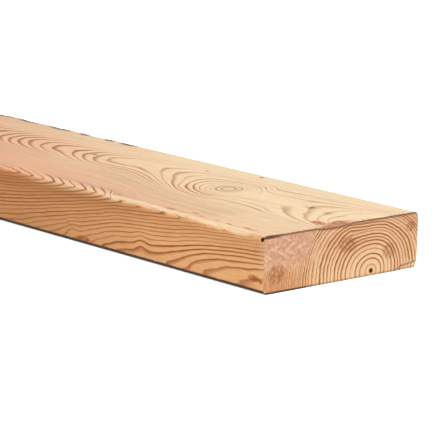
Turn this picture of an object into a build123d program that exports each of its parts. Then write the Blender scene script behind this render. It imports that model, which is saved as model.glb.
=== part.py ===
from build123d import *
import math
import os

# A dressed softwood plank, sawn from one log in one piece. It lies flat with its length along X,
# its wide faces level and its underside on Z = 0. The trimmed end that shows its rings is at +X.

# Dressed section and length as sold
thickness = 38.1
width = 139.7
length = 2438.4

# Planed rounding along the four long arrises
arris_radius = 3.2

# Where the pith comes out of the trimmed end, from the far edge and from the underside
pith_from_far_edge = 43.1
pith_height = 3.4
pith_pit_diameter = 2.0
pith_pit_depth = 2.5

# Pin hole in the near top arris, beside the trimmed end
pin_hole_diameter = 1.8
pin_hole_depth = 3.5
pin_hole_from_end = 2.3
pin_hole_below_top = 2.2

# Torn scoop in the top arris of the trimmed end, where the grain lifts beside a knot
scoop_from_far_edge = 78.0
scoop_width = 31.0
scoop_depth = 2.0

# Splinter broken out of the far bottom corner of the trimmed end by the saw
splinter_run = 19.0
splinter_heel = 2.8
splinter_heel_setback = 3.0
splinter_rise = 4.9
splinter_depth = 1.2

# Bark-edge nicks in the far top arris: distance from the trimmed end to the middle, and length
arris_nicks = [(332.0, 30.0), (378.0, 16.0), (411.0, 26.0), (450.0, 28.0)]
nick_depth = 1.5

end_x = length / 2
far_y = width / 2
near_y = -width / 2


def dish(middle, outwards, chord, depth):
    """A ball that cuts a round dish of that chord and depth, with its lowest point below middle."""
    radius = (chord**2 / 4 + depth**2) / (2 * depth)
    return Pos(*(middle + outwards * (radius - depth))) * Sphere(radius)


def dressed_stock():
    """The full length of the planed section, square at both sawn ends."""
    section = Plane.YZ * Pos(0, thickness / 2) * RectangleRounded(width, thickness, arris_radius)
    return extrude(section, amount=end_x, both=True)


def pith_pit():
    """The soft pith, shrunk back a little from the trimmed end."""
    drill = Cylinder(pith_pit_diameter / 2, 2 * pith_pit_depth, rotation=(0, 90, 0))
    return Pos(end_x, far_y - pith_from_far_edge, pith_height) * drill


def pin_hole():
    """A small round hole that goes into the near edge at the top arris."""
    drill = Cylinder(pin_hole_diameter / 2, 2 * pin_hole_depth, rotation=(90, 0, 0))
    return Pos(end_x - pin_hole_from_end, near_y, thickness - pin_hole_below_top) * drill


def torn_scoop():
    """A shallow dish across the arris between the top face and the trimmed end."""
    middle = Vector(end_x, far_y - scoop_from_far_edge, thickness)
    return dish(middle, Vector(0, 0, 1), scoop_width, scoop_depth)


def splinter():
    """The thin wedge that is missing along the bottom of the trimmed end."""
    outline = Polyline(
        (far_y - splinter_run, 0),
        (far_y - splinter_run + splinter_heel_setback, splinter_heel),
        (far_y, splinter_rise),
        (far_y, 0),
        close=True,
    )
    profile = Plane.YZ.offset(end_x) * make_face(outline)
    return extrude(profile, amount=splinter_depth, both=True)


def bark_nicks():
    """Shallow dishes along the far top arris, square to its rounding."""
    inset = arris_radius * (1 - math.sqrt(0.5))
    outwards = Vector(0, 1, 1).normalized()
    return [
        dish(Vector(end_x - distance, far_y - inset, thickness - inset), outwards, chord, nick_depth)
        for distance, chord in arris_nicks
    ]


def plank():
    """The whole plank as one solid."""
    wood = dressed_stock()
    for cut in [pith_pit(), pin_hole(), torn_scoop(), splinter(), *bark_nicks()]:
        wood -= cut
    return wood


os.makedirs("parts", exist_ok=True)
export_step(plank(), "parts/plank.step")
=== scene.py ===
import math

import bpy
from bpy.props import FloatProperty, FloatVectorProperty, PointerProperty
from mathutils import Matrix, Vector


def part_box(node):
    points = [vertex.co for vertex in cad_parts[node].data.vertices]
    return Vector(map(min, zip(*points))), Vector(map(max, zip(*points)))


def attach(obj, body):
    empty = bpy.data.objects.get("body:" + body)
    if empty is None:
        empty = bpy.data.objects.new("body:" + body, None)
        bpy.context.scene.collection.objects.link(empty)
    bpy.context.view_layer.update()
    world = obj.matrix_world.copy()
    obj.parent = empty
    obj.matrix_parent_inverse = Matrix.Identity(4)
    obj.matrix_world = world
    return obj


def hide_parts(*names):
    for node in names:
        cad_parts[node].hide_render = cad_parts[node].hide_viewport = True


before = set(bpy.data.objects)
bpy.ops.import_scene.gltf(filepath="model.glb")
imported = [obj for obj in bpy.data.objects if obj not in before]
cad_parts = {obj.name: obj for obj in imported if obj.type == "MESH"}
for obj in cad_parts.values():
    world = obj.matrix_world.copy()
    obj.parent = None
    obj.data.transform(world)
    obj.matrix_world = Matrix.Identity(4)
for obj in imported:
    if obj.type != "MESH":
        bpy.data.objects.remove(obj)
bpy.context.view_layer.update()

bl_info = {
    "name": "Sawn softwood plank",
    "version": (1, 0, 0),
    "blender": (4, 5, 0),
    "location": "3D View > Sidebar > Plank",
    "description": "Makes a dressed softwood plank whose grain is one ring model, and a stage for it",
    "category": "Object",
}

# The plank lies along X on the floor, with its far edge at +Y and the end that shows its rings at
# +X. The ring model counts in millimetres: u from that end inwards, y across and z up.
PLANK_LOW, PLANK_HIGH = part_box("plank")
PLANK_SIZE = PLANK_HIGH - PLANK_LOW
MM = 0.001

# The planes of the trimmed end, the near edge and the top face, and half the section
END_X = PLANK_HIGH.x / MM
NEAR_Y = PLANK_LOW.y / MM
TOP_Z = PLANK_HIGH.z / MM
HALF_WIDTH = PLANK_SIZE.y / MM / 2
HALF_THICKNESS = PLANK_SIZE.z / MM / 2

# How far the pith lies above the underside, and how it wanders sideways, along the length. Away
# from the pith the wandering fades between two distances.
PITH_Y = 26.5
PITH_HEIGHT = [(0, 3.2), (60, 0.5), (110, -2), (210, -8), (300, -11), (400, -15), (500, -18)]
PITH_WANDER = [
    (0, 0), (60, -1), (110, -6), (141, -9), (175, -4.5), (200, 1), (225, 3.5), (260, -1), (300, -4.5),
    (400, -4.5), (500, -3),
]
WANDER_FADE = (15, 95)
# How many rings the taper of the log adds along the near edge
TAPER_NEAR = [
    (0, 0), (24, 0.38), (62, 1.38), (82, 2.38), (103, 3.38), (125, 3.75), (150, 3.95), (165, 4.38),
    (182, 5.38), (200, 6.4), (213, 7.1), (238, 8.5), (250, 9.2), (300, 11.4), (400, 12.7), (500, 13.4),
]
# Rings between the pith and the top face: an arch has its nose wherever the count ends in .88
RINGS_TO_TOP = [
    (0, 12.92), (15, 13.5), (20, 13.88), (34.5, 14.88), (55.5, 15.88), (64, 16.15), (85, 16.25),
    (113, 16.2), (124, 15.2), (136, 14.25), (141, 14.3), (160, 15.15), (172, 16.05), (180, 16.9),
    (193, 17.88), (208, 18.88), (228, 19.88), (240, 20.15), (276, 20.5), (291, 21.3), (299, 21.88),
    (313, 22.88), (327, 23.88), (340, 24.3), (351, 24.88), (367, 25.88), (383, 26.88), (395, 27.88),
    (406, 28.88), (418, 29.88), (455, 31.8), (500, 33.4),
]
# Ring boundaries counted outwards from the pith: radius, ring number
RING_COUNT = [
    (0, 0), (6, 1), (11, 2), (15, 3), (19.7, 4), (24, 5), (28, 6), (31, 7), (34.5, 8), (38, 9), (41, 10),
    (44.5, 11), (48, 12), (51, 13), (54.8, 14), (57.5, 15), (60, 16), (62.2, 17), (64, 18), (65.6, 19),
    (67, 20), (80, 31), (96, 48), (100, 53.2), (103, 56.7), (110, 63.8), (140, 94),
]
# The lists along the length end here. Beyond it the pith sways on in long waves, and the taper adds
# rings evenly, per millimetre.
MAPPED_LENGTH = 500
SWAY_LENGTH = 290
SWAY_HEIGHT = 9
RUN_OUT = 0.011
# The rings are flatter than circles: everywhere, more on the far side of the pith, and by the end
# more for each millimetre above the pith, up to a height
FLATTER = 1.08
FLATTER_FAR = 0.21
FLATTER_BY_END = 0.011
FLATTER_HEIGHT = 34
# A ring's dark line is darkest at this share of the ring, and ends between the next two
LINE_PEAK = 0.88
LINE_FADE = (0.91, 0.99)
# The lists count in millimetres of grain. From the end to this far in, the plank's own millimetres
# turn into these: longer along it, wider from the near edge and lower from the top.
GRAIN_FROM_END = (0, 30)
GRAIN_STRETCH = 1.095
GRAIN_WIDER = 0.026
GRAIN_LOWER = 0.031

# The knot that comes out of the top face: u and y, its radii, and how many rings it lifts
KNOT = (141, 17.4)
KNOT_RADII = (15, 17)
KNOT_LIFT = 4.2
# Other places where rings are lifted: two waves low on the near edge, and a branch trace by the end
RING_WAVES = [
    ((132, -70, 12), (7, 25, 8), 0.75),
    ((212, -70, 9), (7, 25, 7), 0.75),
    ((0, 5, 34), (25, 10, 10), 1.1),
]

# Where the wood changes, in the grain's millimetres. Each pair is where a smooth change starts and
# where it is done. A part that ends again along the plank has a pair for its start and one for its end.
UP_TO_TOP = (30, 37)
HOOK_CURL = ((145, 185), (295, 345))
HOOK_CURL_FROM_NEAR = (14, 34)
HOOK_CURL_SHARE = 0.82
HOOKS = ((150, 165), (320, 370))
HOOKS_Y = (-59, -54)
HOOKS_Z = (29, 34)
CLEARER_WOOD = (500, 1500)
CLEARING_BY_KNOT = ((66, 76), (120, 137))
FAINT_BY_END = (62, 80)
FAINT_BY_FAR_ARRIS = (28, 44)
BOLD_ARCHES = (290, 370)
WEAK_BESIDE_ARCHES = (240, 280)
DULLER_EDGE = (60, 300)
OLIVE_EDGE = (60, 250)
OLIVE_EDGE_Z = (18, 34)
PINK_BAND = ((150, 185), (240, 290))
PALE_FAR_Y = (46, 62)
PALE_FAR_END = (250, 300)
# The pale strip along the near top arris is partly pale wood, partly a painted highlight on the rounded
# arris
PALE_STRIP_AND_HIGHLIGHT = ((4, 30), (160, 200))
STRIP_RIM_END = (175, 190)
# The same on the sawn end, across and up
BLUSH_Y, BLUSH_Z = (-38, -18), (12, 24)
SCRATCHED_Y, SCRATCHED_Z = (-45, 10), (5, 20)
PALE_CORNER_Y, PALE_CORNER_Z = (54, 60), (3, 9)
TAN_NEAR_Y, TAN_NEAR_Z = (-52, -15), (8, 24)
TAN_FAR_Y = (36, 56)
# Where the painted shade along the sawn end's top edge grows thicker, by the near corner
BURR_SHADE_CORNER_Y = (-64, -50)

# Soft round marks in the grain: u, y and z of the middle, and the radii
AROUND_KNOT = [((*KNOT, 38), (26, 20, 16)), ((188, 22, 38), (40, 28, 16))]
KNOT_HEART = [((*KNOT, 38), (17, 14, 12))]
END_ARCHES = [((57, 20, 38), (7, 5, 6)), ((34, 16, 38), (8, 7, 6)), ((19, 13, 38), (8, 6, 6))]
ARCH_DASHES = [((57, 20, 38), (6, 2.4, 3)), ((34, 16.5, 38), (3, 2.6, 3))]
RESIN_MARKS = [
    ((305.5, 22, 38), (2.6, 3, 3)), ((202.5, 49, 38), (1.6, 1.3, 2)), ((159, 65, 37.5), (2.8, 2, 2)),
    ((46, -62, 38), (3, 1.2, 2)), ((28, -61, 38), (5, 1.2, 2)), ((88, -57, 38), (4, 1, 2)),
]
TORN_PLACES = [
    ((13, -10, 38), (8, 5.5, 3)), ((7.5, 0, 38), (4.5, 9, 3)), ((3, -5, 37), (4.5, 16, 4)),
    ((10, -70, 9.3), (7, 2, 2.2)), ((3, -70, 8.4), (2.2, 2, 1.8)), ((198, -70, 3), (9, 2, 2.5)),
]
END_STAINS = [
    ((0, -58.5, 12.5), (9, 8, 7)), ((0, 4, 24), (9, 9, 6)), ((0, 43, 15), (9, 7, 6)),
    ((0, 63, 29), (9, 5, 4)),
]
# Saw strokes on the end: how far each runs along y and z, the same across it, and a noise shift
SAW_STROKES = [((0.9, 0.45), (0.45, -0.9), 51), ((0.85, -0.5), (0.5, 0.85), 71)]

ARRIS_RADIUS = 0.0032
# How far the middle of a rounded arris lies inside the square corner, slantwise
ARRIS_INSET = ARRIS_RADIUS / MM * (math.sqrt(2) - 1)
DIAGONAL = math.sqrt(0.5)
# How many rows of points the plank's mesh has each way
MESH_ROWS = {"Vertices X": 300, "Vertices Y": 100, "Vertices Z": 32}
# A mesh with fewer faces than this is no plank. Faces that meet at more than the angle stay sharp.
FEWEST_FACES = 1000
SHARP_ANGLE = math.radians(48)
# Bark-edge nicks in the far top arris: distance from the trimmed end to the middle, and length
ARRIS_NICKS = [(332, 30), (378, 16), (411, 26), (450, 28)]
NICK_DEPTH = 1.5
# Bark that the planer left along the same arris, in the nicks and between them
BARK = [(295, 17), (316, 10), (346, 10), (376, 23), (415, 24), (450, 28)]
# Torn scoop in the top arris of the trimmed end: y of its middle, width and depth
SCOOP = (-8.15, 31, 1.3)
# Splinter missing from the far bottom corner of the trimmed end: y where it starts, the setback and
# height of its heel, how high it rises at the far edge, and its depth
SPLINTER = (50.85, 3, 2.8, 4.9, 0.7)
# The shrunken pith in the trimmed end: y, z, radius and depth
PITH_PIT = (26.75, 3.4, 1.0, 2.5)
# The pin hole in the near edge: u, z, radius and depth
PIN_HOLE = (2.3, 35.9, 0.9, 3.5)

# The camera that fits the plank's outline in the photo
CAMERA_PLACE = Vector((2.4181, -1.1980, 0.3967))
CAMERA_AIM = Vector((1.2192, -0.1056, 0.0512))
CAMERA_ROLL = math.radians(1.651)
CAMERA_LENS = 214.77
SENSOR_WIDTH = 36.0
NEAREST_SEEN = 0.05
# Square lamps: side, place and aim
ROOF_LAMP = (3.0, (0.6, 0.3, 2.6), (0.8, 0.0, 0.0))
END_LAMP = (1.4, (3.74, -1.75, 1.0), (1.1, 0.0, 0.0))
# How much the floor glows where the camera sees it
FLOOR_GLOW = 0.6


def linear(red, green, blue):
    """A colour written as 0 to 255 screen values, as the scene's linear values."""
    shares = [value / 255 for value in (red, green, blue)]
    return [s / 12.92 if s <= 0.04045 else ((s + 0.055) / 1.055) ** 2.4 for s in shares]


class Nodes:
    """Adds nodes to a shader tree or a geometry tree and joins them up."""

    def __init__(self, tree):
        self.tree = tree

    def make(self, kind, **settings):
        node = self.tree.nodes.new(kind)
        for name, value in settings.items():
            setattr(node, name, value)
        return node

    def feed(self, socket, value):
        if isinstance(value, bpy.types.NodeSocket):
            self.tree.links.new(value, socket)
        else:
            socket.default_value = value

    def fed(self, kind, inputs, **settings):
        """A new node whose inputs get these values."""
        node = self.make(kind, **settings)
        for name, value in inputs.items():
            self.feed(node.inputs[name], value)
        return node

    def math(self, operation, *values):
        node = self.make("ShaderNodeMath", operation=operation)
        for socket, value in zip(node.inputs, values):
            self.feed(socket, value)
        return node.outputs[0]

    def chain(self, operation, values):
        total = values[0]
        for value in values[1:]:
            total = self.math(operation, total, value)
        return total

    def add(self, *values):
        return self.chain("ADD", values)

    def mul(self, *values):
        return self.chain("MULTIPLY", values)

    def most(self, *values):
        return self.chain("MAXIMUM", values)

    def least(self, *values):
        return self.chain("MINIMUM", values)

    def sub(self, a, b):
        return self.math("SUBTRACT", a, b)

    def div(self, a, b):
        return self.math("DIVIDE", a, b)

    def size(self, value):
        """The value without its sign."""
        return self.math("ABSOLUTE", value)

    def ease(self, low, high, value):
        """0 below low, 1 above high, and a smooth rise between them."""
        node = self.make("ShaderNodeMapRange", interpolation_type="SMOOTHSTEP")
        for socket, given in zip(node.inputs, (value, low, high, 0.0, 1.0)):
            self.feed(socket, given)
        return node.outputs[0]

    def fade(self, low, high, value):
        """1 below low, 0 above high, and a smooth fall between them."""
        return self.sub(1.0, self.ease(low, high, value))

    def between(self, rise, fall, value):
        """1 between a smooth rise and a smooth fall, each given as (start, end)."""
        return self.mul(self.ease(*rise, value), self.fade(*fall, value))

    def root(self, *values):
        """The length of a vector with these parts."""
        squares = [self.mul(value, value) for value in values]
        return self.math("SQRT", self.add(*squares))

    def join(self, x, y, z):
        node = self.make("ShaderNodeCombineXYZ")
        for socket, value in zip(node.inputs, (x, y, z)):
            self.feed(socket, value)
        return node.outputs[0]

    def split(self, vector):
        node = self.make("ShaderNodeSeparateXYZ")
        self.feed(node.inputs[0], vector)
        return node.outputs

    def line(self, points, value):
        """A smooth line through the points (place, height), level beyond the first and last."""
        places, heights = zip(*points)
        low, high = min(heights), max(heights)
        start, reach = places[0], places[-1] - places[0]
        node = self.make("ShaderNodeFloatCurve")
        curve = node.mapping.curves[0]
        marks = [((a - start) / reach, (b - low) / (high - low)) for a, b in points]
        curve.points[0].location = marks[0]
        curve.points[1].location = marks[-1]
        for mark in marks[1:-1]:
            curve.points.new(*mark)
        for point in curve.points:
            point.handle_type = "AUTO_CLAMPED"
        node.mapping.update()
        share = self.div(self.sub(value, start), reach)
        self.feed(node.inputs["Value"], share)
        return self.add(self.mul(node.outputs[0], high - low), low)

    def noise(self, place, grain, detail=1.0, shift=0.0):
        """Noise from about -1 to 1, with features of the size of grain along u, y and z."""
        u, y, z = place
        vector = self.join(
            self.add(self.div(u, grain[0]), shift), self.div(y, grain[1]), self.div(z, grain[2])
        )
        node = self.fed("ShaderNodeTexNoise", {"Vector": vector, "Scale": 1.0, "Detail": detail})
        return self.mul(self.sub(node.outputs[0], 0.5), 4.0)

    def bell(self, *terms):
        """A bell that is 1 at the middle: terms are (value, middle, width)."""
        squares = []
        for value, middle, width in terms:
            off = self.div(self.sub(value, middle), width)
            squares.append(self.mul(off, off))
        return self.math("EXPONENT", self.mul(self.add(*squares), -1.0))


def hook_curl(nodes, place):
    """How far sideways the rings are drawn where they turn round the near top arris in hooks."""
    u, y, z = place
    inwards = nodes.sub(y, NEAR_Y)
    beside = nodes.mul(inwards, nodes.fade(*HOOK_CURL_FROM_NEAR, inwards))
    return nodes.mul(beside, nodes.between(*HOOK_CURL, u), nodes.ease(*UP_TO_TOP, z), HOOK_CURL_SHARE)


def lifted_rings(nodes, place):
    """How many rings the knot, the waves and the branch trace lift through the wood."""
    knot_place = zip(place, KNOT, KNOT_RADII)
    off = nodes.root(*[nodes.div(nodes.sub(value, middle), radius) for value, middle, radius in knot_place])
    knot = nodes.math("EXPONENT", nodes.mul(nodes.math("POWER", off, 1.6), -1.0))
    lift = nodes.mul(knot, nodes.ease(0.0, 30.0, place[2]), KNOT_LIFT)
    for middle, spread, count in RING_WAVES:
        wave = nodes.bell(*zip(place, middle, spread))
        lift = nodes.add(lift, nodes.mul(wave, count))
    return lift


def growth_rings(nodes, place):
    """The ring number at a place in the wood, and its distance from the pith."""
    u, y, z = place
    y = nodes.sub(y, hook_curl(nodes, place))
    mapped = nodes.least(u, MAPPED_LENGTH)
    beyond = nodes.most(nodes.sub(u, MAPPED_LENGTH), 0.0)

    # The place counted from the pith, across and up
    pith_line = nodes.line(PITH_HEIGHT, mapped)
    sway = nodes.mul(nodes.math("SINE", nodes.div(beyond, SWAY_LENGTH)), SWAY_HEIGHT)
    across = nodes.sub(y, PITH_Y)
    wander_share = nodes.fade(*WANDER_FADE, nodes.size(across))
    dy = nodes.sub(across, nodes.mul(nodes.line(PITH_WANDER, mapped), wander_share))
    dz = nodes.sub(z, nodes.add(pith_line, sway))
    to_near = nodes.mul(dy, -1.0)

    # The rings of a log without taper
    by_end = nodes.mul(nodes.fade(30.0, 120.0, u), FLATTER_BY_END)
    up = nodes.least(nodes.most(dz, 0.0), FLATTER_HEIGHT)
    near_fade = nodes.sub(1.0, nodes.mul(nodes.ease(12.0, 50.0, to_near), 0.75))
    flatter = nodes.add(nodes.mul(by_end, up, near_fade), FLATTER)
    flatter_far = nodes.add(nodes.mul(nodes.ease(0.0, 22.0, dy), FLATTER_FAR), 1.0)
    radius = nodes.root(nodes.mul(dy, flatter_far), nodes.mul(dz, flatter))
    rings = nodes.line(RING_COUNT, radius)

    # What the taper adds over the pith, so that the top face gets its count, and by the near edge
    to_top = nodes.sub(TOP_Z, pith_line)
    flatter_top = nodes.add(nodes.mul(by_end, nodes.least(to_top, FLATTER_HEIGHT)), FLATTER)
    untapered = nodes.line(RING_COUNT, nodes.mul(to_top, flatter_top))
    over_pith = nodes.sub(nodes.line(RINGS_TO_TOP, mapped), untapered)
    near_share = nodes.ease(0.0, 90.0, to_near)
    taper = nodes.add(
        nodes.mul(nodes.line(TAPER_NEAR, mapped), near_share),
        nodes.mul(over_pith, nodes.sub(1.0, near_share)),
        nodes.mul(beyond, RUN_OUT),
    )
    rings = nodes.sub(nodes.add(rings, taper), lifted_rings(nodes, (u, y, z)))

    # Unevenness, calmer towards the pith
    waver = nodes.add(
        nodes.mul(nodes.noise(place, (90, 32, 24)), 0.14),
        nodes.mul(nodes.noise(place, (26, 15, 7), shift=7), 0.15),
        nodes.mul(nodes.noise(place, (30, 4.5, 4.5), shift=13), nodes.fade(4.0, 30.0, u), 0.13),
    )
    return nodes.add(rings, nodes.mul(waver, nodes.ease(0.0, 60.0, radius))), radius


def in_millimetres(nodes, vector):
    """u, y and z of a place that is given in metres."""
    x, y, z = nodes.split(vector)
    return nodes.sub(END_X, nodes.div(x, MM)), nodes.div(y, MM), nodes.div(z, MM)


def grain_place(nodes, place):
    """The place that the grain's lists count in: a little longer than the plank, wider and lower."""
    u, y, z = place
    along = nodes.mul(u, GRAIN_STRETCH)
    off_end = nodes.ease(*GRAIN_FROM_END, along)
    from_near = nodes.sub(y, NEAR_Y)
    from_top = nodes.sub(TOP_Z, z)
    across = nodes.add(y, nodes.mul(from_near, off_end, GRAIN_WIDER))
    up = nodes.sub(z, nodes.mul(from_top, off_end, GRAIN_LOWER))
    return along, across, up


def scoop_depth(nodes, place):
    """How deep the torn scoop goes below the top face."""
    u, y, _ = place
    middle, wide, deep = SCOOP
    off = nodes.div(nodes.root(u, nodes.sub(y, middle)), wide / 2)
    return nodes.most(nodes.mul(nodes.sub(1.0, nodes.mul(off, off)), deep), 0.0)


def colour_setting(name, description, screen):
    """A colour that a user can change, with a default that is written as 0 to 255 screen values."""
    return FloatVectorProperty(
        name=name, description=description, default=linear(*screen), size=3, min=0, max=1, subtype="COLOR"
    )


class PlankSettings(bpy.types.PropertyGroup):
    """The plank's sizes and colours"""

    length: FloatProperty(
        name="Length", description="Length of the plank", default=PLANK_SIZE.x, unit="LENGTH"
    )
    width: FloatProperty(
        name="Width", description="Dressed width", default=PLANK_SIZE.y, unit="LENGTH"
    )
    thickness: FloatProperty(
        name="Thickness", description="Dressed thickness", default=PLANK_SIZE.z, unit="LENGTH"
    )
    arris_radius: FloatProperty(
        name="Arris radius", description="Planed rounding of the long arrises", default=ARRIS_RADIUS,
        unit="LENGTH",
    )
    # Painted light in part: the wide faces, the underside too, are paler, as if brightly lit, and the
    # narrow faces deeper and more orange, as if in shade, on top of the wood's own difference between them
    early_face: colour_setting("Earlywood, wide face", "Pale wood of the wide faces", (255, 224, 182))
    late_face: colour_setting("Latewood, wide face", "Dark lines of the wide faces", (164, 98, 30))
    early_edge: colour_setting("Earlywood, edge", "Pale wood of the narrow faces", (255, 192, 131))
    late_edge: colour_setting("Latewood, edge", "Dark lines of the narrow faces", (165, 83, 26))
    early_end: colour_setting("Earlywood, end", "Pale wood of the sawn ends", (255, 211, 164))
    late_end: colour_setting("Latewood, end", "Dark rings of the sawn ends", (152, 76, 20))
    blush_face: colour_setting("Blush, wide face", "Pinkish heartwood of the wide faces", (240, 179, 139))
    blush_end: colour_setting("Blush, end", "Pink burnish of the sawn end", (210, 152, 128))
    olive_edge: colour_setting("Olive tint, edge", "Duller wood high on the narrow face", (190, 122, 68))
    # Pale wood, and also a painted highlight along the rounded near top arris
    sapwood_and_highlight: colour_setting("Sapwood strip", "Pale strip along the near top arris", (255, 228, 186))
    # Painted shade: a dark colour for the bottom arrises and the sawn end's bottom edge, where the plank
    # meets the floor, and for the inside of the pin hole
    painted_shade: colour_setting("Floor dirt", "Dirt picked up along the bottom arrises", (26, 20, 18))
    stain_end: colour_setting("Stain, end", "Orange-brown parts of the sawn end", (206, 130, 76))
    knot: colour_setting("Knot", "Resin-dark wood of the knots", (150, 80, 30))
    torn: colour_setting("Torn wood", "Reddish wood where the grain is torn", (176, 86, 36))
    # Besides bark, this colour paints the pith and the painted shade along the sawn end's top edge
    bark: colour_setting("Bark", "Bark and burr left on the arrises", (92, 46, 20))


class StageSettings(bpy.types.PropertyGroup):
    """The floor's and the lamps' settings"""

    floor_size: FloatProperty(
        name="Floor size", description="Side of the floor", default=12.0, unit="LENGTH"
    )
    floor_tone: FloatVectorProperty(
        name="Floor tone", description="Colour of the floor", size=3, min=0, max=1,
        default=(0.3, 0.3, 0.3), subtype="COLOR",
    )
    sky_level: FloatProperty(name="Sky level", description="Light from all round", default=0.5, min=0)
    roof_power: FloatProperty(
        name="Roof lamp", description="Watts of the lamp overhead", default=23.0, min=0
    )
    end_power: FloatProperty(
        name="End lamp", description="Watts of the lamp by the end", default=71.0, min=0
    )


def mix(nodes, share, low, high):
    """A colour between low and high."""
    node = nodes.make("ShaderNodeMix", data_type="RGBA", clamp_factor=True)
    for socket, value in zip((node.inputs[0], node.inputs[6], node.inputs[7]), (share, low, high)):
        if not isinstance(value, (bpy.types.NodeSocket, float)):
            value = (*value, 1.0)
        nodes.feed(socket, value)
    return node.outputs[2]


def shade(nodes, colour, factor):
    """A colour made darker or lighter by a factor."""
    grey = nodes.join(factor, factor, factor)
    node = nodes.make("ShaderNodeVectorMath", operation="MULTIPLY")
    nodes.feed(node.inputs[0], colour)
    nodes.feed(node.inputs[1], grey)
    return node.outputs[0]


def spots(nodes, place, marks):
    """A mask of soft round marks: each is (u, y, z) of its middle, and its radii the same way."""
    masks = []
    for middle, radii in marks:
        parts = [
            nodes.div(nodes.sub(value, at), radius) for value, at, radius in zip(place, middle, radii)
        ]
        masks.append(nodes.fade(0.55, 1.15, nodes.root(*parts)))
    return nodes.most(*masks)


class Wood:
    """What the softwood's colours share: the place, the faces, the ring and the noises there."""

    def __init__(self, nodes):
        coordinates = nodes.make("ShaderNodeTexCoord")
        self.here = in_millimetres(nodes, coordinates.outputs["Object"])
        self.place = grain_place(nodes, self.here)
        u, y, z = self.place

        normal = nodes.split(coordinates.outputs["Normal"])
        self.on_end = nodes.ease(0.5, 0.8, nodes.size(normal[0]))
        self.on_edge = nodes.ease(0.2, 0.7, nodes.size(normal[1]))
        self.on_near_edge = nodes.ease(0.3, 0.8, nodes.mul(normal[1], -1.0))
        self.on_top = nodes.mul(nodes.ease(*UP_TO_TOP, z), nodes.sub(1.0, self.on_end))

        rings, self.radius = growth_rings(nodes, self.place)
        self.ring_share = nodes.math("FRACT", rings)
        self.ring_number = nodes.math("FLOOR", rings)
        odd = nodes.make("ShaderNodeTexWhiteNoise", noise_dimensions="1D")
        nodes.feed(odd.inputs["W"], nodes.add(self.ring_number, 0.5))
        self.ring_tone = odd.outputs["Value"]

        self.streak = nodes.noise(self.place, (60, 1.4, 1.4), detail=3, shift=3)
        self.fine = nodes.noise(self.place, (9, 0.8, 0.8), detail=2, shift=9)
        self.cloud = nodes.noise(self.place, (34, 7, 5), detail=2, shift=15)
        self.blotch = nodes.noise(self.place, (120, 45, 40), shift=21)
        self.speck = nodes.noise(self.place, (1, 0.9, 0.9), detail=2, shift=31)
        self.rough = nodes.noise(self.place, (5, 2.5, 2.5), detail=3, shift=41)
        self.flake = nodes.noise(self.place, (8, 1.6, 1.6), detail=3, shift=81)

        self.around_knot = spots(nodes, self.place, AROUND_KNOT)
        self.hooks = nodes.mul(nodes.between(*HOOKS, u), nodes.fade(*HOOKS_Y, y), nodes.ease(*HOOKS_Z, z))
        self.clearer = nodes.ease(*CLEARER_WOOD, u)


def faint_parts(nodes, wood):
    """Where the top face's lines are faint: beside the knot, by the end and by the far arris."""
    u, y, _ = wood.place
    beside_knot = nodes.mul(nodes.between(*CLEARING_BY_KNOT, u), nodes.bell((y, 18, 36)))
    before_knot = nodes.bell((u, 77, 19), (y, 8, 20))
    off_arches = nodes.sub(1.0, nodes.mul(spots(nodes, wood.place, END_ARCHES), 0.6))
    faint = nodes.most(
        nodes.mul(beside_knot, 0.94),
        nodes.mul(before_knot, 0.96),
        nodes.mul(nodes.fade(*FAINT_BY_END, u), off_arches, 0.6),
        nodes.mul(nodes.ease(*FAINT_BY_FAR_ARRIS, y), 0.55),
    )
    return nodes.mul(faint, wood.on_top)


def line_strength(nodes, wood):
    """How strong the dark lines are. Each ring has its own tone, and the plank has its faint parts."""
    u, y, z = wood.place
    crowded = nodes.mul(nodes.ease(62.0, 72.0, wood.radius), wood.on_end)
    every_other = nodes.mul(nodes.math("FRACT", nodes.mul(wood.ring_number, 0.5)), 2.0)
    own_tone = nodes.mul(wood.ring_tone, nodes.sub(1.0, crowded), 0.7)
    by_knot = nodes.mul(wood.around_knot, wood.on_top, 0.5)
    low_edge = nodes.mul(wood.on_near_edge, nodes.fade(9.0, 15.0, z), 0.25)
    strength = nodes.mul(nodes.add(own_tone, 0.65), nodes.sub(1.0, by_knot), nodes.sub(1.0, low_edge))
    strength = nodes.add(strength, nodes.mul(crowded, nodes.sub(every_other, 0.45)))

    off_pith = nodes.add(nodes.mul(nodes.ease(5.0, 14.0, wood.radius), 0.6), 0.4)
    bold_hooks = nodes.mul(wood.hooks, nodes.sub(1.5, nodes.mul(wood.on_top, 0.9)))
    over_pith = nodes.bell((y, 22, 17))
    bolder = nodes.mul(over_pith, nodes.ease(*BOLD_ARCHES, u), 0.2)
    weaker = nodes.mul(nodes.sub(1.0, over_pith), nodes.ease(*WEAK_BESIDE_ARCHES, u), 0.35)
    arches = nodes.mul(nodes.sub(bolder, weaker), wood.on_top)
    strength = nodes.mul(strength, off_pith, nodes.add(bold_hooks, 1.0), nodes.add(arches, 1.0))
    strength = nodes.add(strength, nodes.mul(wood.streak, 0.14), nodes.mul(wood.speck, 0.1))
    return nodes.mul(strength, nodes.sub(1.0, faint_parts(nodes, wood)))


def dark_lines(nodes, wood):
    """How much of the latewood's colour a place has: nothing in a ring's pale part, most at its line."""
    off_end = nodes.sub(1.0, wood.on_end)
    start = nodes.add(
        nodes.mul(nodes.ease(8.0, 50.0, wood.radius), -0.3),
        nodes.mul(wood.on_end, -0.2),
        nodes.mul(wood.around_knot, off_end, 0.06),
        nodes.mul(nodes.sub(wood.ring_tone, 0.5), -0.2),
        nodes.mul(wood.hooks, nodes.ease(36.0, 37.5, wood.place[2]), 0.15),
        0.78,
    )
    rise = nodes.ease(start, LINE_PEAK, wood.ring_share)
    return nodes.mul(rise, nodes.fade(*LINE_FADE, wood.ring_share), line_strength(nodes, wood))


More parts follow.
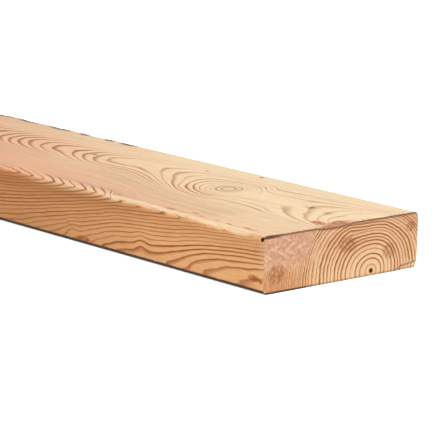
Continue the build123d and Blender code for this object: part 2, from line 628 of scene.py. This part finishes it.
def edge_colour(nodes, wood, look, latewood):
    """The narrow faces: duller away from the end, and olive high up."""
    u, _, z = wood.place
    duller = nodes.mul(nodes.ease(*DULLER_EDGE, u), nodes.sub(1.0, nodes.mul(wood.clearer, 0.6)), 0.55)
    ground = mix(nodes, duller, look.early_edge, look.olive_edge)
    edge = mix(nodes, latewood, ground, look.late_edge)
    more_olive = nodes.add(nodes.mul(nodes.ease(*OLIVE_EDGE, u), 0.3), 0.3)
    return mix(nodes, nodes.mul(nodes.ease(*OLIVE_EDGE_Z, z), more_olive), edge, look.olive_edge)


def face_colour(nodes, wood, look, latewood):
    """The wide faces: redder towards the near arris and away from the end, with a pink band there."""
    u, y, _ = wood.place
    inwards = nodes.sub(nodes.least(u, MAPPED_LENGTH), nodes.mul(wood.clearer, 330.0))
    redness = nodes.add(
        nodes.mul(y, -0.0125), nodes.mul(inwards, 0.0046),
        nodes.mul(wood.blotch, 0.3), nodes.mul(wood.cloud, 0.2),
    )
    reddened = nodes.ease(0.1, 2.5, redness)
    washed = nodes.mul(reddened, nodes.fade(-20.0, 6.0, y), nodes.sub(1.0, wood.hooks), 0.8)
    face = mix(nodes, reddened, look.early_face, look.blush_face)
    face = mix(nodes, nodes.mul(latewood, nodes.sub(1.0, washed)), face, look.late_face)

    band_y = nodes.add(y, nodes.mul(wood.cloud, -1.5), nodes.mul(wood.rough, 0.8))
    band = nodes.mul(nodes.bell((band_y, -54, 4)), nodes.between(*PINK_BAND, u))
    return mix(nodes, nodes.mul(band, 0.4), face, look.blush_end)


def planed_colour(nodes, wood, look, latewood):
    """The planed faces and edges, before their pale wood, painted arris highlight, knot and marks."""
    u, y, _ = wood.place
    face = face_colour(nodes, wood, look, latewood)
    edge = edge_colour(nodes, wood, look, latewood)
    grain = nodes.add(
        nodes.mul(wood.streak, 0.07), nodes.mul(nodes.most(wood.fine, -0.9), 0.09),
        nodes.mul(wood.cloud, 0.05), nodes.mul(wood.blotch, 0.02), 1.0,
    )
    beside_arches = nodes.add(nodes.fade(-25.0, 0.0, y), nodes.mul(nodes.ease(45.0, 58.0, y), 0.8))
    far_along = nodes.mul(nodes.ease(290.0, 380.0, u), nodes.sub(1.0, wood.clearer))
    dim = nodes.mul(beside_arches, wood.on_top, far_along, 0.06)
    # The narrow faces take their deeper colours and the wide faces their paler ones, partly painted light
    return shade(nodes, mix(nodes, wood.on_edge, face, edge), nodes.mul(grain, nodes.sub(1.0, dim)))


def pale_wood_and_arris_highlight(nodes, wood, look, latewood, colour):
    """Paler wood along the far arris, and a cream painted highlight between the hooks on the rounded near
    top arris.
    """
    u, y, z = wood.place
    far = nodes.mul(nodes.ease(*PALE_FAR_Y, y), nodes.fade(*PALE_FAR_END, u), wood.on_top)
    colour = mix(nodes, nodes.mul(far, 0.6), colour, look.sapwood_and_highlight)
    # Painted highlight: cream between the hooks, on the rounded near top arris
    between = nodes.sub(1.0, nodes.least(nodes.mul(latewood, 1.6), 1.0))
    near = nodes.fade(-65.0, -59.0, nodes.add(y, nodes.mul(wood.rough, 1.5)))
    within = nodes.mul(near, nodes.ease(33.0, 36.0, z), nodes.fade(245.0, 275.0, u))
    return mix(nodes, nodes.mul(wood.hooks, between, within, 0.3), colour, look.sapwood_and_highlight)


def strip_and_arris_highlight(nodes, wood, look, colour):
    """The pale strip along the near top arris, partly pale wood and partly a painted highlight on the
    rounding, with its ragged sides and a broken dark rim.
    """
    u, y, z = wood.place
    ragged = nodes.mul(wood.flake, 2.0)
    lower = nodes.sub(36.0, nodes.mul(nodes.fade(20.0, 90.0, u), 2.0))
    upper = nodes.add(nodes.mul(nodes.ease(30.0, 130.0, u), 3.5), -67.0)
    strip_z = nodes.ease(0.0, 1.4, nodes.sub(nodes.sub(z, lower), ragged))
    strip_y = nodes.fade(0.0, 1.4, nodes.sub(nodes.sub(y, upper), ragged))
    starts, ends = PALE_STRIP_AND_HIGHLIGHT
    run_out = nodes.fade(*ends, nodes.add(u, nodes.mul(wood.flake, 15.0)))
    patchy = nodes.add(nodes.mul(nodes.ease(-0.6, 0.5, wood.flake), 0.6), 0.4)
    strip = nodes.mul(strip_z, strip_y, nodes.ease(*starts, u), run_out, patchy)
    colour = mix(nodes, nodes.mul(strip, 0.9), colour, look.sapwood_and_highlight)

    gaps = nodes.ease(0.0, 0.5, nodes.noise(wood.place, (11, 30, 30), detail=2, shift=61))
    rim = nodes.mul(nodes.bell((nodes.sub(y, ragged), -61, 1.5)), gaps, wood.on_top)
    return mix(nodes, nodes.mul(rim, nodes.fade(*STRIP_RIM_END, u), 0.8), colour, look.knot)


def knot_and_marks(nodes, wood, look, latewood, colour):
    """A painted highlight on the near edge by the end, the knot, resin marks, dashes and torn places."""
    # Painted highlight: the near edge is paler within a few millimetres of the sawn end
    highlight_by_end = nodes.fade(2.5, 7.0, nodes.add(wood.place[0], nodes.mul(wood.flake, 1.5)))
    colour = mix(nodes, nodes.mul(highlight_by_end, wood.on_near_edge, 0.22), colour, look.early_end)
    knot = nodes.mul(spots(nodes, wood.place, KNOT_HEART), nodes.add(latewood, 0.15))
    colour = mix(nodes, nodes.mul(knot, 0.8), colour, look.knot)
    colour = mix(nodes, nodes.mul(spots(nodes, wood.place, RESIN_MARKS), 0.85), colour, look.knot)
    colour = mix(nodes, nodes.mul(spots(nodes, wood.place, ARCH_DASHES), 0.4), colour, look.knot)
    torn = nodes.mul(spots(nodes, wood.place, TORN_PLACES), nodes.ease(-0.9, 0.3, wood.flake))
    return mix(nodes, nodes.mul(torn, 0.9), colour, look.torn)


def saw_marks(nodes, wood):
    """Slanting scratches of the saw that cross each other, from about -1 to 1."""
    u, y, z = wood.place
    strokes = []
    for (run_y, run_z), (cross_y, cross_z), shift in SAW_STROKES:
        along = nodes.add(nodes.mul(y, run_y), nodes.mul(z, run_z))
        across = nodes.add(nodes.mul(y, cross_y), nodes.mul(z, cross_z))
        drawn = (u, nodes.mul(along, 0.08), across)
        strokes.append(nodes.noise(drawn, (9, 1, 2.6), detail=2, shift=shift))
    return nodes.most(*strokes)


def end_rings(nodes, wood, look, latewood, blush, corner):
    """The rings of the sawn end, duller high up, and pale in the far bottom corner."""
    _, y, z = wood.place
    high = nodes.ease(6.0, 26.0, nodes.add(z, nodes.mul(wood.rough, 3.0)))
    pale = nodes.mul(corner, 0.6)
    ground = mix(nodes, nodes.mul(high, nodes.bell((y, 10, 48)), 0.34), look.early_end, look.stain_end)
    ground = mix(nodes, pale, ground, look.sapwood_and_highlight)
    low = nodes.mul(nodes.fade(3.0, 12.0, z), nodes.bell((y, 5, 45)), 0.3)
    fainter = nodes.sub(1.0, nodes.most(pale, low))
    lines = nodes.mul(latewood, nodes.sub(1.0, nodes.mul(blush, 0.7)), fainter)
    return mix(nodes, lines, ground, look.late_end)


def end_colour(nodes, wood, look, latewood, saw):
    """The sawn end, burnished pink by the near top corner, with saw scratches, stains, and painted shade
    along the top of the splinter's break.
    """
    _, y, z = wood.place
    ragged = nodes.mul(wood.rough, 3.0)
    blush = nodes.mul(
        nodes.fade(*BLUSH_Y, nodes.add(y, ragged)), nodes.ease(*BLUSH_Z, nodes.add(z, ragged))
    )
    corner = nodes.mul(nodes.ease(*PALE_CORNER_Y, y), nodes.fade(*PALE_CORNER_Z, z))
    end = end_rings(nodes, wood, look, latewood, blush, corner)
    burnish = nodes.add(nodes.mul(wood.rough, 0.35), nodes.mul(wood.speck, 0.15), 0.8)
    end = mix(nodes, nodes.mul(blush, burnish), end, look.blush_end)
    where = nodes.mul(nodes.fade(*SCRATCHED_Y, y), nodes.ease(*SCRATCHED_Z, z))
    end = mix(nodes, nodes.mul(nodes.ease(0.0, 1.0, saw), where, 0.85), end, look.early_end)

    near_part = nodes.mul(nodes.fade(*TAN_NEAR_Y, y), nodes.fade(*TAN_NEAR_Z, z))
    far_part = nodes.mul(nodes.ease(*TAN_FAR_Y, y), nodes.sub(1.0, corner), 0.2)
    tan = nodes.mul(nodes.most(near_part, far_part), nodes.add(nodes.mul(wood.rough, 0.3), 0.6))
    end = mix(nodes, tan, end, look.stain_end)
    stains = nodes.mul(spots(nodes, wood.place, END_STAINS), nodes.ease(-1.2, 0.8, wood.rough), 0.65)
    end = mix(nodes, stains, end, look.late_end)

    smudge = nodes.noise(wood.place, (9, 3.2, 2.2), detail=3, shift=91)
    mottle = nodes.mul(smudge, nodes.add(nodes.mul(blush, 0.17), 0.035))
    tone = nodes.add(nodes.mul(wood.speck, 0.12), nodes.mul(wood.blotch, 0.03), mottle, 1.0)
    # Painted shade: a dark line along the top of the splinter's break in the far bottom corner, where the
    # break steps back from the end
    split = nodes.bell((z, nodes.sub(nodes.mul(y, 0.12), 4.0), 0.8))
    split = nodes.mul(split, nodes.ease(53.0, 56.0, y), 0.7)
    return mix(nodes, split, shade(nodes, end, tone), look.late_end)


def bored_places(nodes, wood, look, colour):
    """The dark pith, and painted shade inside the pin hole."""
    pith_y, pith_z, _, _ = PITH_PIT
    pith = spots(nodes, wood.here, [((0, pith_y, pith_z), (8, 2.2, 2.1))])
    hole_u, hole_z, _, _ = PIN_HOLE
    # Painted shade: the inside of the pin hole is darkened
    hole = spots(nodes, wood.here, [((hole_u, NEAR_Y, hole_z), (1.9, 8, 1.7))])
    return mix(nodes, hole, mix(nodes, pith, colour, look.bark), look.painted_shade)


def arris_marks(nodes, wood, look, colour):
    """Painted shade along the sawn end's top edge, as under a burr, bark in the far arris, and painted
    shade along the bottom arrises where the plank meets the floor.
    """
    u, y, z = wood.place
    # Painted shade: a dark line along the sawn end's top edge and round the torn scoop, as under a burr,
    # thicker by the near corner
    by_corner = nodes.fade(*BURR_SHADE_CORNER_Y, y)
    reach = nodes.most(nodes.add(nodes.mul(wood.rough, 0.9), by_corner, 0.7), 0.2)
    at_top = nodes.add(z, nodes.mul(by_corner, 0.6), scoop_depth(nodes, wood.here))
    burr_shade = nodes.mul(nodes.fade(0.4, 1.6, nodes.div(u, reach)), nodes.ease(36.2, 37.4, at_top))
    thick = nodes.add(nodes.mul(by_corner, 0.25), 0.7)
    colour = mix(nodes, nodes.mul(burr_shade, thick), colour, look.bark)

    bark = spots(nodes, wood.here, [((at, 67.5, 38), (long * 0.72, 6.5, 6.5)) for at, long in BARK])
    bark = nodes.mul(bark, nodes.ease(-1.8, -0.3, wood.flake), 0.85)
    colour = mix(nodes, bark, colour, look.bark)

    # Painted shade: a dark line along both long bottom arrises and along the sawn end's bottom edge,
    # fainter on the end away from the near corner
    height = nodes.add(wood.here[2], nodes.mul(wood.rough, 0.2), nodes.mul(wood.on_end, 1.5))
    thinner_shade = nodes.mul(wood.on_end, nodes.ease(-45.0, -15.0, y), 0.6)
    at_arris = nodes.most(nodes.ease(66.6, 67.2, nodes.size(y)), wood.on_end)
    painted_shade = nodes.mul(nodes.fade(2.5, 3.1, height), nodes.sub(1.0, thinner_shade), at_arris, 0.95)
    return mix(nodes, painted_shade, colour, look.painted_shade)


def softwood_material(look):
    """Planed softwood: pale earlywood and darker latewood, laid out by the growth rings."""
    material = bpy.data.materials.new("dressed_softwood")
    material.use_nodes = True
    tree = material.node_tree
    tree.nodes.clear()
    nodes = Nodes(tree)
    wood = Wood(nodes)
    latewood = dark_lines(nodes, wood)
    saw = saw_marks(nodes, wood)

    colour = planed_colour(nodes, wood, look, latewood)
    colour = pale_wood_and_arris_highlight(nodes, wood, look, latewood, colour)
    colour = strip_and_arris_highlight(nodes, wood, look, colour)
    colour = knot_and_marks(nodes, wood, look, latewood, colour)
    colour = mix(nodes, wood.on_end, colour, end_colour(nodes, wood, look, latewood, saw))
    colour = bored_places(nodes, wood, look, colour)
    colour = arris_marks(nodes, wood, look, colour)

    height = nodes.add(
        nodes.mul(latewood, 0.05), nodes.mul(wood.fine, 0.03), nodes.mul(wood.streak, 0.03),
        nodes.mul(saw, wood.on_end, 0.05),
    )
    bump = nodes.fed("ShaderNodeBump", {"Strength": 0.6, "Distance": MM, "Height": height})
    surface = {
        "Base Color": colour,
        "Roughness": nodes.add(nodes.mul(latewood, -0.08), nodes.mul(wood.fine, 0.04), 0.66),
        "Specular IOR Level": 0.3,
        "Normal": bump.outputs["Normal"],
    }
    shader = nodes.fed("ShaderNodeBsdfPrincipled", surface)
    nodes.fed("ShaderNodeOutputMaterial", {"Surface": shader.outputs["BSDF"]})
    return material


def drawn_out(nodes, value, span):
    """Crowds the rows of points towards both arrises."""
    share = nodes.div(value, nodes.mul(span, 0.5))
    bent = nodes.math("SINE", nodes.mul(share, math.pi / 2))
    return nodes.mul(nodes.add(share, bent), span, 0.25)


def beyond_core(nodes, value, span, radius):
    """A place held back to where the arris rounding starts, and how far the place lies beyond."""
    core = nodes.sub(nodes.mul(span, 0.5), radius)
    held = nodes.most(nodes.least(value, core), nodes.mul(core, -1.0))
    return held, nodes.sub(value, held)


def planed_block(nodes, given):
    """A block with rounded long arrises, and with its rows of points crowded towards the trimmed end."""
    length, width, thickness = given["Length"], given["Width"], given["Thickness"]
    cube = nodes.fed("GeometryNodeMeshCube", {"Size": nodes.join(length, width, thickness), **MESH_ROWS})
    x, y, z = nodes.split(nodes.make("GeometryNodeInputPosition").outputs[0])
    inwards = nodes.sub(0.5, nodes.div(x, length))
    crowded = nodes.add(nodes.mul(inwards, 0.2), nodes.mul(inwards, inwards, inwards, 0.8))
    x = nodes.mul(nodes.sub(0.5, crowded), length)
    core_y, over_y = beyond_core(nodes, drawn_out(nodes, y, width), width, given["Arris Radius"])
    core_z, over_z = beyond_core(nodes, drawn_out(nodes, z, thickness), thickness, given["Arris Radius"])

    # The square ring of points beyond the core is pulled in to a round one
    farther = nodes.most(nodes.size(over_y), nodes.size(over_z))
    pull = nodes.div(farther, nodes.most(nodes.root(over_y, over_z), 1e-6))
    y = nodes.add(core_y, nodes.mul(over_y, pull))
    z = nodes.add(core_z, nodes.mul(over_z, pull), nodes.mul(thickness, 0.5))
    return placed(nodes, cube.outputs["Mesh"], nodes.join(x, y, z))


def placed(nodes, mesh, position):
    """The mesh with its points moved to a position."""
    setter = nodes.fed("GeometryNodeSetPosition", {"Geometry": mesh, "Position": position})
    return setter.outputs["Geometry"]


def bore(nodes, block, mouth, radius, depth, turn):
    """The block with a round hole bored into it at its mouth (u, y, z)."""
    sizes = {"Vertices": 24, "Radius": radius * MM, "Depth": 2 * depth * MM}
    drill = nodes.fed("GeometryNodeMeshCylinder", sizes)
    u, y, z = (value * MM for value in mouth)
    at = {"Geometry": drill.outputs["Mesh"], "Translation": (PLANK_HIGH.x - u, y, z), "Rotation": turn}
    held = nodes.fed("GeometryNodeTransform", at)
    meshes = {"Mesh 1": block, "Mesh 2": held.outputs["Geometry"]}
    cut = nodes.fed("GeometryNodeMeshBoolean", meshes, operation="DIFFERENCE", solver="EXACT")
    return cut.outputs["Mesh"]


def rubbed_arrises(nodes, place):
    """The place after all four long arrises are rubbed away here and there, by tenths of a millimetre."""
    u, y, z = place
    wear = nodes.most(nodes.mul(nodes.noise(place, (16, 40, 40), detail=2, shift=17), 0.3), 0.0)
    side = nodes.sub(nodes.mul(nodes.math("GREATER_THAN", y, 0.0), 2.0), 1.0)
    top = nodes.sub(nodes.mul(nodes.math("GREATER_THAN", z, HALF_THICKNESS), 2.0), 1.0)
    past_edge = nodes.sub(nodes.mul(y, side), HALF_WIDTH)
    past_face = nodes.sub(nodes.mul(nodes.sub(z, HALF_THICKNESS), top), HALF_THICKNESS)
    slant = nodes.mul(nodes.add(past_edge, past_face), DIAGONAL)
    over = nodes.most(nodes.add(slant, wear, ARRIS_INSET), 0.0)
    cut = nodes.mul(over, DIAGONAL)
    return u, nodes.sub(y, nodes.mul(cut, side)), nodes.sub(z, nodes.mul(cut, top))


def nicked_arris(nodes, place, rough):
    """The place after the bark-edge nicks are taken out of the far top arris."""
    u, y, z = place
    dishes = []
    for middle, long in ARRIS_NICKS:
        off = nodes.div(nodes.sub(u, middle), long / 2)
        dishes.append(nodes.mul(nodes.sub(nodes.mul(off, off), 1.0), NICK_DEPTH))
    limit = nodes.add(nodes.least(*dishes), nodes.mul(rough, 0.25), -ARRIS_INSET)
    past_edge, past_face = nodes.sub(y, HALF_WIDTH), nodes.sub(z, TOP_Z)
    slant = nodes.mul(nodes.add(past_edge, past_face), DIAGONAL)
    cut = nodes.mul(nodes.most(nodes.sub(slant, limit), 0.0), DIAGONAL)
    return u, nodes.sub(y, cut), nodes.sub(z, cut)


def torn_end(nodes, place, rough):
    """The place after the scoop is torn out of the trimmed end's top arris."""
    u, y, z = place
    dish = scoop_depth(nodes, place)
    dish = nodes.add(dish, nodes.mul(rough, nodes.ease(0.0, 0.6, dish), 0.3))
    return u, y, nodes.least(z, nodes.sub(TOP_Z, nodes.most(dish, 0.0)))


def splintered_corner(nodes, place):
    """The place after the splinter breaks out of the trimmed end's far bottom corner."""
    u, y, z = place
    start, setback, heel, rise, deep = SPLINTER
    steep = nodes.mul(nodes.sub(y, start), heel / setback)
    slope = (rise - heel) / (HALF_WIDTH - start - setback)
    shallow = nodes.add(nodes.mul(nodes.sub(y, start + setback), slope), heel)
    under = nodes.sub(nodes.least(steep, shallow), z)
    gone = nodes.mul(nodes.ease(-0.3, 0.3, under), nodes.fade(0.2, deep, u), deep)
    return nodes.add(u, gone), y, z


def worn_place(nodes, place):
    """Where wear and breakage leave a point of the planed block, in metres."""
    rough = nodes.noise(place, (4, 3, 3), detail=2, shift=5)
    place = rubbed_arrises(nodes, place)
    place = nicked_arris(nodes, place, rough)
    place = torn_end(nodes, place, rough)
    u, y, z = splintered_corner(nodes, place)
    x = nodes.sub(END_X, u)
    return nodes.join(nodes.mul(x, MM), nodes.mul(y, MM), nodes.mul(z, MM))


def plank_tree():
    """The rule that the plank's shape follows, from a planed block to its worn and bored form."""
    tree = bpy.data.node_groups.new("plank_shape", "GeometryNodeTree")
    tree.interface.new_socket("Geometry", in_out="OUTPUT", socket_type="NodeSocketGeometry")
    sizes = zip(("Length", "Width", "Thickness", "Arris Radius"), (*PLANK_SIZE, ARRIS_RADIUS))
    for name, start in sizes:
        socket = tree.interface.new_socket(name, in_out="INPUT", socket_type="NodeSocketFloat")
        socket.default_value = start
        socket.subtype = "DISTANCE"
    tree.interface.new_socket("Finish", in_out="INPUT", socket_type="NodeSocketMaterial")
    nodes = Nodes(tree)
    given = nodes.make("NodeGroupInput").outputs

    block = planed_block(nodes, given)
    place = in_millimetres(nodes, nodes.make("GeometryNodeInputPosition").outputs[0])
    block = placed(nodes, block, worn_place(nodes, place))
    y, z, radius, depth = PITH_PIT
    block = bore(nodes, block, (0.0, y, z), radius, depth, (0.0, math.pi / 2, 0.0))
    u, z, radius, depth = PIN_HOLE
    block = bore(nodes, block, (u, NEAR_Y, z), radius, depth, (math.pi / 2, 0.0, 0.0))

    smooth = nodes.fed("GeometryNodeSetShadeSmooth", {"Geometry": block})
    real = nodes.fed("GeometryNodeRealizeInstances", {"Geometry": smooth.outputs["Geometry"]})
    dressing = {"Geometry": real.outputs["Geometry"], "Material": given["Finish"]}
    finish = nodes.fed("GeometryNodeSetMaterial", dressing)
    nodes.fed("NodeGroupOutput", {"Geometry": finish.outputs["Geometry"]})
    return tree


def plain_mesh(name, tree, inputs):
    """A mesh object made by a geometry tree with these inputs, with no modifier left on it."""
    holder = bpy.data.objects.new(name, bpy.data.meshes.new(name + "_seed"))
    bpy.context.scene.collection.objects.link(holder)
    modifier = holder.modifiers.new(name, "NODES")
    modifier.node_group = tree
    for item in tree.interface.items_tree:
        if item.in_out == "INPUT" and item.name in inputs:
            modifier[item.identifier] = inputs[item.name]
    graph = bpy.context.evaluated_depsgraph_get()
    mesh = bpy.data.meshes.new_from_object(holder.evaluated_get(graph))
    holder.modifiers.clear()
    seed = holder.data
    holder.data = mesh
    mesh.name = name
    bpy.data.meshes.remove(seed)
    return holder


class PLANK_OT_plank(bpy.types.Operator):
    """Makes the plank in the place of the plain solid"""

    bl_idname = "plank.make_plank"
    bl_label = "Make plank"

    def execute(self, context):
        look = context.scene.plank_look
        sizes = {
            "Length": look.length,
            "Width": look.width,
            "Thickness": look.thickness,
            "Arris Radius": look.arris_radius,
            "Finish": softwood_material(look),
        }
        plank = plain_mesh("plank_wood", plank_tree(), sizes)
        if len(plank.data.polygons) < FEWEST_FACES:
            raise RuntimeError("the plank's geometry tree made no plank")
        plank.data.set_sharp_from_angle(angle=SHARP_ANGLE)
        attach(plank, "root")
        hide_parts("plank")
        return {"FINISHED"}


def seen_directly(nodes):
    """1 where the camera sees a place itself or in a reflection, and 0 where it only sheds light."""
    rays = nodes.make("ShaderNodeLightPath")
    return nodes.most(
        rays.outputs["Is Camera Ray"], rays.outputs["Is Glossy Ray"], rays.outputs["Is Transmission Ray"]
    )


def floor_material(tone):
    """A pale floor that the camera sees as white, apart from the plank's shadow."""
    material = bpy.data.materials.new("studio_floor")
    material.use_nodes = True
    tree = material.node_tree
    nodes = Nodes(tree)
    shader = tree.nodes["Principled BSDF"]
    shader.inputs["Roughness"].default_value = 1.0
    shader.inputs["Specular IOR Level"].default_value = 0.0
    seen = seen_directly(nodes)
    nodes.feed(shader.inputs["Base Color"], mix(nodes, seen, tuple(tone), (1.0, 1.0, 1.0)))
    shader.inputs["Emission Color"].default_value = (1, 1, 1, 1)
    nodes.feed(shader.inputs["Emission Strength"], nodes.mul(seen, FLOOR_GLOW))
    return material


def aimed(place, aim, roll=0.0):
    """The matrix of a lamp or a camera at a place, turned towards its aim and rolled."""
    turn = (aim - place).to_track_quat("-Z", "Y").to_matrix().to_4x4()
    return Matrix.Translation(place) @ turn @ Matrix.Rotation(roll, 4, "Z")


def soft_lamp(scene, name, power, size, place, aim):
    """A square area lamp at a place, turned towards its aim."""
    lamp = bpy.data.lights.new(name, "AREA")
    lamp.energy = power
    lamp.size = size
    holder = bpy.data.objects.new(name, lamp)
    scene.collection.objects.link(holder)
    holder.matrix_world = aimed(Vector(place), Vector(aim))


def lay_floor(scene, stage):
    """The level floor that the plank lies on."""
    half = stage.floor_size / 2
    corners = [(-half, -half, 0), (half, -half, 0), (half, half, 0), (-half, half, 0)]
    mesh = bpy.data.meshes.new("floor")
    mesh.from_pydata(corners, [], [(0, 1, 2, 3)])
    mesh.materials.append(floor_material(stage.floor_tone))
    floor = bpy.data.objects.new("floor", mesh)
    scene.collection.objects.link(floor)


def light_studio(scene, stage):
    """White surroundings that light the plank softly, and two lamps."""
    world = bpy.data.worlds.new("studio")
    scene.world = world
    world.use_nodes = True
    nodes = Nodes(world.node_tree)
    background = world.node_tree.nodes["Background"]
    background.inputs["Color"].default_value = (1, 1, 1, 1)
    level = nodes.add(nodes.mul(seen_directly(nodes), 1.0 - stage.sky_level), stage.sky_level)
    nodes.feed(background.inputs["Strength"], level)
    soft_lamp(scene, "roof_lamp", stage.roof_power, *ROOF_LAMP)
    soft_lamp(scene, "end_lamp", stage.end_power, *END_LAMP)


def set_camera(scene):
    """The camera of the photo."""
    camera = bpy.data.cameras.new("camera")
    camera.sensor_width = SENSOR_WIDTH
    camera.lens = CAMERA_LENS
    camera.clip_start = NEAREST_SEEN
    viewer = bpy.data.objects.new("camera", camera)
    scene.collection.objects.link(viewer)
    viewer.matrix_world = aimed(CAMERA_PLACE, CAMERA_AIM, CAMERA_ROLL)
    scene.camera = viewer
    scene.view_settings.view_transform = "Standard"


class PLANK_OT_stage(bpy.types.Operator):
    """Makes the floor, the light and the camera"""

    bl_idname = "plank.make_stage"
    bl_label = "Make stage"

    def execute(self, context):
        scene = context.scene
        lay_floor(scene, scene.plank_stage)
        light_studio(scene, scene.plank_stage)
        set_camera(scene)
        return {"FINISHED"}


class PLANK_PT_sidebar(bpy.types.Panel):
    """Lists the settings of the plank and its stage, and what makes them"""

    bl_idname = "PLANK_PT_sidebar"
    bl_label = "Sawn plank"
    bl_space_type = "VIEW_3D"
    bl_region_type = "UI"
    bl_category = "Plank"

    def draw(self, context):
        layout = self.layout
        for settings in (context.scene.plank_look, context.scene.plank_stage):
            box = layout.box()
            for name in settings.__annotations__:
                box.prop(settings, name)
        layout.operator(PLANK_OT_plank.bl_idname)
        layout.operator(PLANK_OT_stage.bl_idname)


CLASSES = (PlankSettings, StageSettings, PLANK_OT_plank, PLANK_OT_stage, PLANK_PT_sidebar)


def register():
    for made in CLASSES:
        bpy.utils.register_class(made)
    bpy.types.Scene.plank_look = PointerProperty(type=PlankSettings)
    bpy.types.Scene.plank_stage = PointerProperty(type=StageSettings)


def unregister():
    del bpy.types.Scene.plank_stage
    del bpy.types.Scene.plank_look
    for made in reversed(CLASSES):
        bpy.utils.unregister_class(made)


def main():
    register()
    bpy.ops.plank.make_plank()
    bpy.ops.plank.make_stage()


if __name__ == "__main__":
    main()
